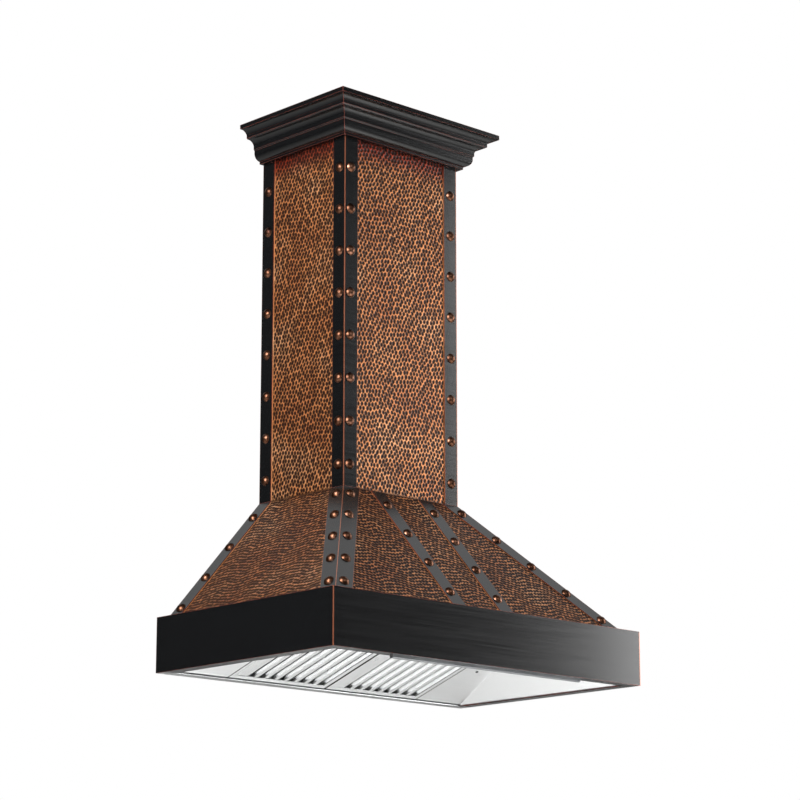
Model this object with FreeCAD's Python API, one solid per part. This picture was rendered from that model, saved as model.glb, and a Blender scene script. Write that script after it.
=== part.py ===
import FreeCAD, Part
import math
import os

# Wall-mounted range hood. Millimetres, +Z up. The wall is the plane y = 0 and the room is on the -Y side.
# The origin is on the wall, at the middle of the hood's width, level with the bottom of the skirt.

Vector = FreeCAD.Vector

# Overall sizes, measured over the straps.
HOOD_WIDTH = 914.0
HOOD_DEPTH = 572.0
SKIRT_HEIGHT = 121.0
CANOPY_TOP = 408.6
CHIMNEY_WIDTH = 347.0
CHIMNEY_DEPTH = 284.0
CROWN_BOTTOM = 1209.6
CROWN_HEIGHT = 82.0
CROWN_OVERHANG = 72.0
ROOF_INSET_SIDE = 29.0
ROOF_INSET_FRONT = 27.0

# Sheet thicknesses and the small gap that separates neighbouring pieces.
PANEL = 1.5
STRAP = 2.0
SKIRT_SHEET = 1.5
LINER_SHEET = 1.0
BLOWER_SHEET = 1.2
GAP = 0.3

# Skirt flanges.
SKIRT_BOTTOM_FLANGE = 30.0
SKIRT_TOP_FLANGE = 46.0

# Straps and rivets.
STRAP_WIDTH = 39.0
RIVET_FROM_CORNER = 18.5
RIVET_HEAD_RADIUS = 12.0
RIVET_HEAD_HEIGHT = 8.0
RIVET_SHANK_RADIUS = 3.0
RIVET_SHANK_LENGTH = 6.0
RIVET_HOLE_RADIUS = 3.2
CHIMNEY_RIVETS = 8
CHIMNEY_RIVET_LOW = 459.0
CHIMNEY_RIVET_PITCH = 97.4
HIP_RIVETS = 5
HIP_RIVET_HIGH = 388.5
HIP_RIVET_DROP = 61.0
FRONT_STRAP_X = 71.0
FRONT_RIVETS = 4
FRONT_RIVET_HIGH = 374.0
FRONT_RIVET_DROP = 71.6
REAR_RIVETS = 4
REAR_RIVET_HIGH = 370.0
REAR_RIVET_DROP = 75.2

# Wall fixing: two rows of holes one stud spacing apart.
STUD_SPACING = 406.4
WALL_HOLE_RADIUS = 4.5
WALL_HOLE_LOW = 60.0
WALL_HOLE_HIGH = 300.0
BRACKET_HOLE_SPACING = 200.0
BRACKET_HOLE_RADIUS = 3.0
BRACKET_BOTTOM = 1235.0
BRACKET_HEIGHT = 30.0
BRACKET_EAR = 42.0
BRACKET_SHEET = 2.5

# Liner under the canopy.
FILTER_SLOPE = 18.6
HINGE_Y = -30.0
HINGE_Z = 4.0
LINER_BASE = SKIRT_SHEET
LINER_TOP_Y = -415.0
LINER_TOP_HALF_WIDTH = 291.0

# Filters, in their own flat frame: x across, s forward from the hinge line, n upward.
FILTER_WIDTH = 282.0
FILTER_LENGTH = 396.0
FILTER_HEIGHT = 20.0
FILTER_SHEET = 1.0
FILTER_SPACING = 2.0
FILTER_FLANGE = 14.0
FILTER_TOP_FLANGE = 10.0
BAFFLE_SHEET = 0.8
BAFFLE_PITCH = 28.9
BAFFLE_GROOVES = 8
BAFFLE_GROOVE_WIDTH = 18.0
BAFFLE_DEPTH = 9.0
BAFFLE_FIRST_GROOVE = 46.0
BAFFLE_SLOT = 3.0
CAP_WIDTH = 18.0
CAP_BOTTOM = 13.0
CAP_TOP = 18.0
PULL_WIDTH = 36.0
PULL_DROP = 22.0
PULL_PIN = 1.7
PULL_WIRE = 1.4
PULL_CENTRE = 3.2

# Blower, with its axis along X.
ROTOR_Y = -217.0
ROTOR_Z = 262.0
ROTOR_RADIUS = 85.0
ROTOR_INNER_RADIUS = 64.0
ROTOR_HALF_WIDTH = 60.0
BLADES = 36
BLOWER_HALF_WIDTH = 70.0
OUTLET_FRONT = -227.0
OUTLET_BACK = -72.0
INLET_RADIUS = 63.5
SHAFT_RADIUS = 6.0
MOTOR_RADIUS = 48.0
MOTOR_LENGTH = 76.0
PLATE_TOP = 404.0
PLATE_SHEET = 2.0

# Duct collar and its flaps.
DUCT_Y = -CHIMNEY_DEPTH / 2
COLLAR_RADIUS = 100.0
COLLAR_SHEET = 1.5
COLLAR_HEIGHT = 60.0
COLLAR_FLANGE_RADIUS = 114.0
FLAP_RADIUS = 95.0
FLAP_Z = 430.0
FLAP_PIN_X = 3.2
FLAP_PIN_RADIUS = 2.0
FLAP_SHEET = 1.2

# Light bar under the front lip.
LIGHT_BAR_LENGTH = 558.0
LIGHT_BAR_WIDTH = 10.0
LIGHT_BAR_DROP = 6.5
LIGHT_BAR_Y = -551.0

# Lamps and buttons on the front liner panel.
LAMP_X = 190.0
LAMP_RISE = 95.0
LAMP_RADIUS = 31.0
BUTTONS = ("light", "power", "slower", "faster")
BUTTON_SPACING = 34.0
BUTTON_RISE = 70.0
BUTTON_RADIUS = 8.0
BUTTON_TRAVEL = 2.5

SCREW_HEAD_RADIUS = 3.6
SCREW_HEAD_HEIGHT = 2.2
SCREW_RADIUS = 1.8
SCREW_HOLE_RADIUS = 2.1
SCREW_LENGTH = 8.0

half_width = HOOD_WIDTH / 2
half_chimney = CHIMNEY_WIDTH / 2
crown_top = CROWN_BOTTOM + CROWN_HEIGHT


# ---------------------------------------------------------------- planes and plates
def plane(point, normal):
    """A plane as its outward unit normal and its distance along that normal."""
    unit = Vector(normal)
    unit.normalize()
    return unit, unit.dot(point)


def inside(face, depth):
    """The same plane moved inward by a depth."""
    return face[0], face[1] - depth


def mitre(first, second):
    """The plane through the line where two faces meet that halves the corner between them."""
    return first[0] - second[0], first[1] - second[1]


def meet(a, b, c):
    """The point that three planes share."""
    scale = a[0].dot(b[0].cross(c[0]))
    point = b[0].cross(c[0]) * a[1] + c[0].cross(a[0]) * b[1] + a[0].cross(b[0]) * c[1]
    return point * (1.0 / scale)


def filled(corners):
    """A flat face with the given corners."""
    return Part.Face(Part.makePolygon(corners + corners[:1]))


def rod(radius, start, direction, length):
    """A round bar from a starting point."""
    return Part.makeCylinder(radius, length, start, direction)


def solid_between(lower, upper):
    """A closed solid between two outlines that have the same number of corners."""
    faces = [filled(lower), filled(upper)]
    for i in range(len(lower)):
        j = (i + 1) % len(lower)
        side = [lower[i], lower[j], upper[j], upper[i]]
        faces.append(filled(side))
    solid = Part.makeSolid(Part.makeShell(faces))
    if solid.Volume < 0:
        solid.reverse()
    return solid


def plate(face, sides, thickness):
    """A flat plate behind a face plane, bounded by side planes given in order round it."""
    outer = []
    inner = []
    back = inside(face, thickness)
    for i in range(len(sides)):
        j = (i + 1) % len(sides)
        outer.append(meet(face, sides[i], sides[j]))
        inner.append(meet(back, sides[i], sides[j]))
    return solid_between(outer, inner)


def level(z):
    return plane(Vector(0, 0, z), Vector(0, 0, 1))


def across(y):
    return plane(Vector(0, y, 0), Vector(0, 1, 0))


def along(x):
    return plane(Vector(x, 0, 0), Vector(1, 0, 0))


def box(x0, x1, y0, y1, z0, z1):
    return Part.makeBox(x1 - x0, y1 - y0, z1 - z0, Vector(x0, y0, z0))


def joined(shapes):
    """Several touching or overlapping shapes as one clean solid."""
    body = shapes[0].multiFuse(shapes[1:])
    return body.removeSplitter()


def group(shapes):
    return Part.makeCompound(shapes)


def mirrored(shape):
    """The same piece on the other side of the hood."""
    return shape.mirror(Vector(0, 0, 0), Vector(1, 0, 0))


def placed(shape, point, direction):
    """A copy of a piece built round +Z, set at a point with +Z turned to a direction."""
    piece = shape.copy()
    piece.Placement = FreeCAD.Placement(point, FreeCAD.Rotation(Vector(0, 0, 1), direction))
    return piece


def drilled(shape, places, radius):
    """Holes of one radius through a sheet at (point, outward direction) places."""
    reach = 12.0
    tools = []
    for point, direction in places:
        start = point - direction * reach
        tools.append(rod(radius, start, direction, 2 * reach))
    return shape.cut(tools)


def revolved(profile):
    """A solid turned round +Z from a closed (radius, height) outline of points."""
    points = [Vector(r, 0, z) for r, z in profile]
    return filled(points).revolve(Vector(0, 0, 0), Vector(0, 0, 1), 360)


# ---------------------------------------------------------------- outer faces of the shell
roof_run_front = HOOD_DEPTH - ROOF_INSET_FRONT - CHIMNEY_DEPTH
roof_run_side = half_width - ROOF_INSET_SIDE - half_chimney
roof_rise = CANOPY_TOP - SKIRT_HEIGHT

roof_front = plane(Vector(0, -CHIMNEY_DEPTH, CANOPY_TOP), Vector(0, -roof_rise, roof_run_front))
roof_left = plane(Vector(-half_chimney, 0, CANOPY_TOP), Vector(-roof_rise, 0, roof_run_side))
roof_right = plane(Vector(half_chimney, 0, CANOPY_TOP), Vector(roof_rise, 0, roof_run_side))
chimney_front = plane(Vector(0, -CHIMNEY_DEPTH, 0), Vector(0, -1, 0))
chimney_left = plane(Vector(-half_chimney, 0, 0), Vector(-1, 0, 0))
chimney_right = plane(Vector(half_chimney, 0, 0), Vector(1, 0, 0))
wall = across(0.0)


def hip_edge(face, neighbour, width):
    """The plane that ends a strap on one face, a width away from the corner with its neighbour."""
    corner = face[0].cross(neighbour[0])
    normal = face[0].cross(corner)
    if normal.dot(neighbour[0]) < 0:
        normal = normal * -1.0
    on_corner = meet(face, neighbour, level(SKIRT_HEIGHT))
    normal.normalize()
    return plane(on_corner - normal * width, normal)


# ---------------------------------------------------------------- rivet places
def on_face(face, first, second):
    """A point on a face with the face's outward direction."""
    return meet(face, first, second), face[0]


def chimney_rivet_heights():
    return [CHIMNEY_RIVET_LOW + CHIMNEY_RIVET_PITCH * i for i in range(CHIMNEY_RIVETS)]


def chimney_corner_places():
    """Rivets on the front left corner strap: its front flange, then its side flange."""
    places = []
    for z in chimney_rivet_heights():
        places.append(on_face(chimney_front, along(-half_chimney + RIVET_FROM_CORNER), level(z)))
        places.append(on_face(chimney_left, across(-CHIMNEY_DEPTH + RIVET_FROM_CORNER), level(z)))
    return places


def chimney_rear_places():
    heights = chimney_rivet_heights()
    return [on_face(chimney_left, across(-STRAP_WIDTH / 2), level(z)) for z in heights]


def hip_places():
    """Rivets on both flanges of the left hip strap."""
    places = []
    for i in range(HIP_RIVETS):
        height = level(HIP_RIVET_HIGH - HIP_RIVET_DROP * i)
        places.append(on_face(roof_front, hip_edge(roof_front, roof_left, RIVET_FROM_CORNER), height))
        places.append(on_face(roof_left, hip_edge(roof_left, roof_front, RIVET_FROM_CORNER), height))
    return places


def roof_rear_places():
    heights = [REAR_RIVET_HIGH - REAR_RIVET_DROP * i for i in range(REAR_RIVETS)]
    return [on_face(roof_left, across(-STRAP_WIDTH / 2), level(z)) for z in heights]


def roof_front_places():
    """Rivets on the left one of the two straps on the front of the roof."""
    heights = [FRONT_RIVET_HIGH - FRONT_RIVET_DROP * i for i in range(FRONT_RIVETS)]
    return [on_face(roof_front, along(-FRONT_STRAP_X), level(z)) for z in heights]


def flipped(vector):
    return Vector(-vector.x, vector.y, vector.z)


def other_side(places):
    """The same places on the right half of the hood."""
    return [(flipped(point), flipped(direction)) for point, direction in places]


def facing(places, axis_sign):
    """The places whose direction points along the given (x, y) signs."""
    return [p for p in places if p[1].x * axis_sign[0] + p[1].y * axis_sign[1] > 0.1]


# ---------------------------------------------------------------- copper panels
def roof_panels():
    front_places = hip_places() + other_side(hip_places()) + roof_front_places()
    front_places = facing(front_places + other_side(roof_front_places()), (0, -1))
    left_places = facing(hip_places() + roof_rear_places(), (-1, 0))
    front = inside(roof_front, STRAP)
    left = inside(roof_left, STRAP)
    right = inside(roof_right, STRAP)
    base = level(SKIRT_HEIGHT)
    top = level(CANOPY_TOP)
    front_panel = plate(front, [base, mitre(front, right), top, mitre(front, left)], PANEL)
    left_panel = plate(left, [base, mitre(left, front), top, wall], PANEL)
    left_panel = drilled(left_panel, left_places, RIVET_HOLE_RADIUS)
    return {
        "roof_front_panel": drilled(front_panel, front_places, RIVET_HOLE_RADIUS),
        "roof_left_panel": left_panel,
        "roof_right_panel": mirrored(left_panel),
    }


def chimney_screw_places():
    """Where the chimney's side panel is screwed to its wall bracket, behind the crown."""
    face = inside(chimney_left, STRAP)
    return [on_face(face, across(-BRACKET_EAR * 0.6), level(BRACKET_BOTTOM + BRACKET_HEIGHT / 2))]


def chimney_panels():
    corner = chimney_corner_places()
    front_places = facing(corner + other_side(corner), (0, -1))
    left_places = facing(corner, (-1, 0)) + chimney_rear_places()
    front = inside(chimney_front, STRAP)
    left = inside(chimney_left, STRAP)
    right = inside(chimney_right, STRAP)
    base = level(CANOPY_TOP)
    top = level(crown_top)
    front_panel = plate(front, [base, mitre(front, right), top, mitre(front, left)], PANEL)
    left_panel = plate(left, [base, mitre(left, front), top, wall], PANEL)
    left_panel = drilled(left_panel, left_places, RIVET_HOLE_RADIUS)
    left_panel = drilled(left_panel, chimney_screw_places(), SCREW_HOLE_RADIUS)
    return {
        "chimney_front_panel": drilled(front_panel, front_places, RIVET_HOLE_RADIUS),
        "chimney_left_panel": left_panel,
        "chimney_right_panel": mirrored(left_panel),
    }


# ---------------------------------------------------------------- straps and rivets
def corner_strap(front, side, base, top, places):
    """A strap folded over a corner, with one flange on each face."""
    seam = mitre(front, side)
    front_flange = plate(front, [base, hip_edge(front, side, STRAP_WIDTH), top, seam], STRAP)
    side_flange = plate(side, [base, hip_edge(side, front, STRAP_WIDTH), top, seam], STRAP)
    return drilled(joined([front_flange, side_flange]), places, RIVET_HOLE_RADIUS)


def straps():
    base = level(SKIRT_HEIGHT)
    shoulder = level(CANOPY_TOP)
    top = level(crown_top)
    rear_edge = across(-STRAP_WIDTH)
    screw_hole = (chimney_screw_places(), SCREW_HEAD_RADIUS + GAP)
    chimney_corner = corner_strap(chimney_front, chimney_left, shoulder, top, chimney_corner_places())
    hip = corner_strap(roof_front, roof_left, base, shoulder, hip_places())
    chimney_rear = plate(chimney_left, [shoulder, rear_edge, top, wall], STRAP)
    chimney_rear = drilled(chimney_rear, chimney_rear_places(), RIVET_HOLE_RADIUS)
    chimney_rear = drilled(chimney_rear, *screw_hole)
    roof_rear = plate(roof_left, [base, rear_edge, shoulder, wall], STRAP)
    roof_rear = drilled(roof_rear, roof_rear_places(), RIVET_HOLE_RADIUS)
    near = along(-FRONT_STRAP_X - STRAP_WIDTH / 2)
    far = along(-FRONT_STRAP_X + STRAP_WIDTH / 2)
    roof_middle = plate(roof_front, [base, far, shoulder, near], STRAP)
    roof_middle = drilled(roof_middle, roof_front_places(), RIVET_HOLE_RADIUS)
    lefts = {
        "chimney_corner_strap": chimney_corner,
        "chimney_rear_strap": chimney_rear,
        "hip_strap": hip,
        "roof_rear_strap": roof_rear,
        "roof_middle_strap": roof_middle,
    }
    nodes = {}
    for name, shape in lefts.items():
        nodes[name + "_left"] = shape
        nodes[name + "_right"] = mirrored(shape)
    return nodes


def rivet():
    """A domed head on a straight shank, with the head's flat side at z = 0."""
    cap_radius = (RIVET_HEAD_RADIUS ** 2 + RIVET_HEAD_HEIGHT ** 2) / (2 * RIVET_HEAD_HEIGHT)
    centre = RIVET_HEAD_HEIGHT - cap_radius
    turn = math.asin(RIVET_HEAD_RADIUS / cap_radius) / 2
    middle = Vector(cap_radius * math.sin(turn), 0, centre + cap_radius * math.cos(turn))
    crown_point = Vector(0, 0, RIVET_HEAD_HEIGHT)
    rim = Vector(RIVET_HEAD_RADIUS, 0, 0)
    dome = Part.Arc(crown_point, middle, rim).toShape()
    rest = Part.makePolygon([
        rim,
        Vector(RIVET_SHANK_RADIUS, 0, 0),
        Vector(RIVET_SHANK_RADIUS, 0, -RIVET_SHANK_LENGTH),
        Vector(0, 0, -RIVET_SHANK_LENGTH),
        crown_point,
    ])
    outline = Part.Wire([dome] + rest.Edges)
    return Part.Face(outline).revolve(Vector(0, 0, 0), Vector(0, 0, 1), 360)


def rivets():
    chimney_places = chimney_corner_places() + chimney_rear_places()
    roof_places = hip_places() + roof_rear_places() + roof_front_places()
    places = chimney_places + roof_places
    pattern = rivet()
    everywhere = places + other_side(places)
    return {"strap_rivets": group([placed(pattern, point, direction) for point, direction in everywhere])}


# ---------------------------------------------------------------- skirt
def skirt():
    """Three folded lengths: a web with a return flange below and a ledge above, mitred at the corners."""
    front = plane(Vector(0, -HOOD_DEPTH, 0), Vector(0, -1, 0))
    left = plane(Vector(-half_width, 0, 0), Vector(-1, 0, 0))
    right = plane(Vector(half_width, 0, 0), Vector(1, 0, 0))
    bottom = plane(Vector(0, 0, 0), Vector(0, 0, -1))
    top = level(SKIRT_HEIGHT)
    front_left = mitre(front, left)
    front_right = mitre(front, right)

    front_web = plate(front, [bottom, front_right, top, front_left], SKIRT_SHEET)
    lip_edge = inside(front, SKIRT_BOTTOM_FLANGE)
    ledge_edge = inside(front, SKIRT_TOP_FLANGE)
    front_lip = plate(bottom, [front, front_right, lip_edge, front_left], SKIRT_SHEET)
    front_ledge = plate(top, [front, front_right, ledge_edge, front_left], SKIRT_SHEET)

    left_web = plate(left, [bottom, front_left, top, wall], SKIRT_SHEET)
    lip_end = across(HINGE_Y - GAP)
    ledge_end = across(-SKIRT_SHEET - GAP)
    lip_edge = inside(left, SKIRT_BOTTOM_FLANGE)
    ledge_edge = inside(left, SKIRT_TOP_FLANGE)
    left_lip = plate(bottom, [left, front_left, lip_edge, lip_end], SKIRT_SHEET)
    left_ledge = plate(top, [left, front_left, ledge_edge, ledge_end], SKIRT_SHEET)
    left_piece = joined([left_web, left_lip, left_ledge])
    return {
        "skirt_front": joined([front_web, front_lip, front_ledge]),
        "skirt_left": left_piece,
        "skirt_right": mirrored(left_piece),
    }


# ---------------------------------------------------------------- crown
def crown_section():
    """The folded sheet of the crown, seen end on: x is the overhang and y the height."""
    reach = CROWN_OVERHANG
    top = CROWN_HEIGHT
    half_turn = math.sqrt(0.5)

    def quarter(start, end, centre):
        """A quarter round between two points whose radii along x and y may differ."""
        wide = abs(end[0] - start[0])
        tall = abs(end[1] - start[1])
        sign_x = 1 if start[0] + end[0] > 2 * centre[0] else -1
        sign_y = 1 if start[1] + end[1] > 2 * centre[1] else -1
        middle = Vector(centre[0] + sign_x * wide * half_turn, centre[1] + sign_y * tall * half_turn, 0)
        return Part.Arc(Vector(*start, 0), middle, Vector(*end, 0)).toShape()

    def straight(points):
        return Part.makePolygon([Vector(x, y, 0) for x, y in points]).Edges

    edges = straight([(0, 14), (0, 0), (12, 0), (12, 6)])
    edges.append(quarter((12, 6), (28, 24), (12, 24)))
    edges += straight([(28, 24), (28, 29), (30.5, 32), (30.5, 39)])
    edges.append(quarter((30.5, 39), (49, 52), (49, 39)))
    edges += straight([(49, 52), (52, 54), (52, 61)])
    edges.append(quarter((52, 61), (reach, top - 10.5), (reach, 61)))
    edges += straight([(reach, top - 10.5), (reach, top), (reach - 14, top)])
    path = Part.Wire(edges)
    return path.makeOffset2D(-PANEL, 2, True, True, False)


def crown():
    """Three mitred lengths of moulding and the flat ring that stiffens their top."""
    section = crown_section()
    stretch = HOOD_WIDTH
    front_left = mitre(chimney_front, chimney_left)
    corner = Vector(-half_chimney, -CHIMNEY_DEPTH, 0)

    # x of the section runs out of the chimney's face and y of the section runs up.
    side = section.copy()
    side.rotate(Vector(0, 0, 0), Vector(1, 0, 0), 90)
    side.rotate(Vector(0, 0, 0), Vector(0, 0, 1), 180)
    side.translate(Vector(-half_chimney, 0, CROWN_BOTTOM))
    left = side.extrude(Vector(0, -stretch, 0))
    front_profile = section.copy()
    front_profile.rotate(Vector(0, 0, 0), Vector(1, 0, 0), 90)
    front_profile.rotate(Vector(0, 0, 0), Vector(0, 0, 1), -90)
    front_profile.translate(Vector(-stretch, -CHIMNEY_DEPTH, CROWN_BOTTOM))
    front = front_profile.extrude(Vector(2 * stretch, 0, 0))

    # A wedge on the left of the left corner's mitre plane, and its mirror image.
    far = 2 * stretch
    diagonal = Vector(far, far, 0)
    wedge = filled([corner + diagonal, corner - diagonal, corner + Vector(-far, far, 0)])
    wedge = wedge.extrude(Vector(0, 0, far))
    left = left.common(wedge)
    front = front.cut(wedge).cut(mirrored(wedge))

    ring_top = crown_top - PANEL
    reach = CROWN_OVERHANG - PANEL - GAP
    outer_half = half_chimney + reach
    inner_half = half_chimney + GAP
    outline = box(-outer_half, outer_half, -CHIMNEY_DEPTH - reach, -GAP, ring_top - 2, ring_top)
    inner = box(-inner_half, inner_half, -CHIMNEY_DEPTH - GAP, 1, ring_top - 5, ring_top + 5)
    return {
        "crown_front": front,
        "crown_left": left,
        "crown_right": mirrored(left),
        "crown_ring": outline.cut(inner),
    }


# ---------------------------------------------------------------- hidden structure
def roof_inner_x(z):
    """Half the clear width between the roof's side panels at a height."""
    skin = STRAP + PANEL
    return -meet(inside(roof_left, skin), level(z), wall).x


def roof_inner_y(z):
    """How far the clear space behind the roof's front panel reaches from the wall at a height."""
    return -meet(inside(roof_front, STRAP + PANEL), level(z), along(0.0)).y


def back_panel():
    """The sheet against the wall, with a flange under it that closes the back of the underside."""
    wide = half_width - SKIRT_SHEET - GAP
    ledge = SKIRT_HEIGHT - SKIRT_SHEET - GAP
    plate_under = PLATE_TOP - PLATE_SHEET - GAP
    low = roof_inner_x(SKIRT_HEIGHT) - GAP
    high = roof_inner_x(plate_under) - GAP
    outline = [(-wide, 0), (wide, 0), (wide, ledge), (low, ledge), (high, plate_under)]
    outline += [(-high, plate_under), (-low, ledge), (-wide, ledge)]
    web = filled([Vector(x, 0, z) for x, z in outline]).extrude(Vector(0, -SKIRT_SHEET, 0))
    flange = box(-wide, wide, HINGE_Y, 0, 0, SKIRT_SHEET)
    holes = []
    for z in (WALL_HOLE_LOW, WALL_HOLE_HIGH):
        for x in (-STUD_SPACING / 2, STUD_SPACING / 2):
            holes.append((Vector(x, 0, z), Vector(0, 1, 0)))
    return {"back_panel": drilled(joined([web, flange]), holes, WALL_HOLE_RADIUS)}


def collar_screw_places():
    places = []
    pitch_radius = (COLLAR_RADIUS + COLLAR_FLANGE_RADIUS) / 2
    for i in range(4):
        turn = math.radians(45 + 90 * i)
        x = pitch_radius * math.cos(turn)
        y = DUCT_Y + pitch_radius * math.sin(turn)
        places.append((Vector(x, y, PLATE_TOP + COLLAR_SHEET), Vector(0, 0, 1)))
    return places


def top_plate():
    """The plate that closes the canopy, carries the blower and has the duct outlet."""
    half = roof_inner_x(PLATE_TOP) - GAP
    front = -roof_inner_y(PLATE_TOP) + GAP
    sheet = box(-half, half, front, -GAP, PLATE_TOP - PLATE_SHEET, PLATE_TOP)
    outlet = box(-BLOWER_HALF_WIDTH + 2, BLOWER_HALF_WIDTH - 2, OUTLET_FRONT + 2, OUTLET_BACK - 2,
                 PLATE_TOP - 20, PLATE_TOP + 20)
    return {"top_plate": drilled(sheet.cut(outlet), collar_screw_places(), SCREW_HOLE_RADIUS)}


def chimney_ring():
    """An upright rim on the top plate that the chimney's panels slip over."""
    sheet = 1.5
    half = roof_inner_x(CANOPY_TOP) - GAP
    front = -roof_inner_y(CANOPY_TOP) + GAP
    foot = 10.0
    rim = box(-half, half, front, -GAP, PLATE_TOP, PLATE_TOP + 36)
    rim = rim.cut(box(-half + sheet, half - sheet, front + sheet, 1, PLATE_TOP + sheet, PLATE_TOP + 50))
    opening = box(-half + foot, half - foot, front + foot, 1, PLATE_TOP - 1, PLATE_TOP + 50)
    return {"chimney_ring": rim.cut(opening)}


def chimney_bracket():
    """A bar on the wall behind the crown, with an ear inside each side panel."""
    half = half_chimney - STRAP - PANEL - GAP
    top = BRACKET_BOTTOM + BRACKET_HEIGHT
    bar = box(-half, half, -BRACKET_SHEET, 0, BRACKET_BOTTOM, top)
    ear = box(-half, -half + BRACKET_SHEET, -BRACKET_EAR, 0, BRACKET_BOTTOM, top)
    body = joined([bar, ear, mirrored(ear)])
    middle = BRACKET_BOTTOM + BRACKET_HEIGHT / 2
    apart = BRACKET_HOLE_SPACING / 2
    holes = [(Vector(x, 0, middle), Vector(0, 1, 0)) for x in (-apart, apart)]
    body = drilled(body, holes, BRACKET_HOLE_RADIUS)
    sides = chimney_screw_places() + other_side(chimney_screw_places())
    return {"chimney_bracket": drilled(body, sides, SCREW_HOLE_RADIUS)}


# ---------------------------------------------------------------- liner
slope = math.radians(FILTER_SLOPE)
liner_top_z = HINGE_Z + (HINGE_Y - LINER_TOP_Y) * math.tan(slope)
liner_half_base = half_width - SKIRT_BOTTOM_FLANGE + 2.0
liner_front_base = -HOOD_DEPTH + SKIRT_BOTTOM_FLANGE - 2.0

deck_up = Vector(0, math.sin(slope), math.cos(slope))
deck_along = Vector(0, -math.cos(slope), math.sin(slope))
deck_face = plane(Vector(0, HINGE_Y, HINGE_Z), deck_up * -1.0)
front_up = Vector(0, LINER_TOP_Y - liner_front_base, liner_top_z - LINER_BASE)
front_up.normalize()
front_out = Vector(0, front_up.z, -front_up.y)
front_wall = plane(Vector(0, liner_front_base, LINER_BASE), front_out)
side_rise = Vector(liner_half_base - LINER_TOP_HALF_WIDTH, 0, liner_top_z - LINER_BASE)
left_wall = plane(Vector(-liner_half_base, 0, LINER_BASE), Vector(side_rise.z, 0, -side_rise.x))
right_wall = plane(Vector(liner_half_base, 0, LINER_BASE), Vector(-side_rise.z, 0, -side_rise.x))


def on_deck(x, s, n):
    """A point on the liner deck: across, forward from the hinge line, and above the underside."""
    return Vector(x, HINGE_Y, HINGE_Z) + deck_along * s + deck_up * n


def on_front(x, rise, depth):
    """A point on the front liner panel: across, up from its lower edge, and out into the recess."""
    return Vector(x, liner_front_base, LINER_BASE) + front_up * rise + front_out * depth


def tilted(shape):
    """A filter piece moved from its own flat frame to its place under the deck."""
    piece = shape.copy()
    piece.rotate(Vector(0, 0, 0), Vector(1, 0, 0), -FILTER_SLOPE)
    piece.translate(Vector(0, HINGE_Y, HINGE_Z))
    return piece


def deck_screw_places():
    """Two screws on each side of the filters, seen from below."""
    outward = deck_up * -1.0
    return [(on_deck(x, s, 0), outward) for x in (-327.0, 327.0) for s in (166.0, 186.5)]


def liner():
    base = level(LINER_BASE)
    rear = across(HINGE_Y)
    deck = plate(deck_face, [rear, mitre(deck_face, right_wall), mitre(deck_face, front_wall),
                             mitre(deck_face, left_wall)], LINER_SHEET)
    half_opening = FILTER_WIDTH + FILTER_SPACING / 2 + 1.0
    opening = box(-half_opening, half_opening, -FILTER_LENGTH - 1.5, 10, -5, 30)
    deck = drilled(deck.cut(tilted(opening)), deck_screw_places(), SCREW_HOLE_RADIUS)

    left = plate(left_wall, [base, mitre(left_wall, front_wall), mitre(left_wall, deck_face), rear], LINER_SHEET)
    front = plate(front_wall, [base, mitre(front_wall, right_wall), mitre(front_wall, deck_face),
                               mitre(front_wall, left_wall)], LINER_SHEET)
    lamp_places = [(on_front(x, LAMP_RISE, 0), front_out) for x in (-LAMP_X, LAMP_X)]
    button_places = [(on_front(x, BUTTON_RISE, 0), front_out) for x in button_positions()]
    front = drilled(front, lamp_places, LAMP_RADIUS + GAP)
    front = drilled(front, button_places, BUTTON_RADIUS + GAP)
    return {
        "liner_deck": deck,
        "liner_left": left,
        "liner_right": mirrored(left),
        "liner_front": front,
    }


def rails():
    """The rail behind the filters and the slim light bar along the front of the underside."""
    half = FILTER_WIDTH + FILTER_SPACING / 2
    front = HINGE_Y + 4.5
    back = HINGE_Y + 12.0
    rail = box(-half, half, front, back, SKIRT_SHEET, 12)
    rail = rail.cut(box(-half, half, front + SKIRT_SHEET, back + 1, 2 * SKIRT_SHEET, 13))

    near = LIGHT_BAR_Y - LIGHT_BAR_WIDTH / 2
    far = LIGHT_BAR_Y + LIGHT_BAR_WIDTH / 2
    bar = box(-LIGHT_BAR_LENGTH / 2, LIGHT_BAR_LENGTH / 2, near, far, -LIGHT_BAR_DROP, 0)
    low_edges = [edge for edge in bar.Edges if edge.BoundBox.ZMax < -LIGHT_BAR_DROP + 0.01]
    bar = bar.makeFillet(3.0, [edge for edge in low_edges if edge.Length > LIGHT_BAR_WIDTH + 1])
    return {"filter_rail": rail, "light_bar": bar}


# ---------------------------------------------------------------- filters
def filter_frame():
    """A folded channel round the filter: flange below, wall, and a narrower flange above."""
    wide = FILTER_WIDTH
    deep = FILTER_LENGTH
    tall = FILTER_HEIGHT
    t = FILTER_SHEET
    low = FILTER_FLANGE
    high = FILTER_TOP_FLANGE
    frame = box(0, wide, -deep, 0, 0, tall)
    frame = frame.cut(box(t, wide - t, -deep + t, -t, t, tall - t))
    frame = frame.cut(box(low, wide - low, -deep + low, -low, -1, t + 1))
    return frame.cut(box(high, wide - high, -deep + high, -high, tall - t - 1, tall + 1))


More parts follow.
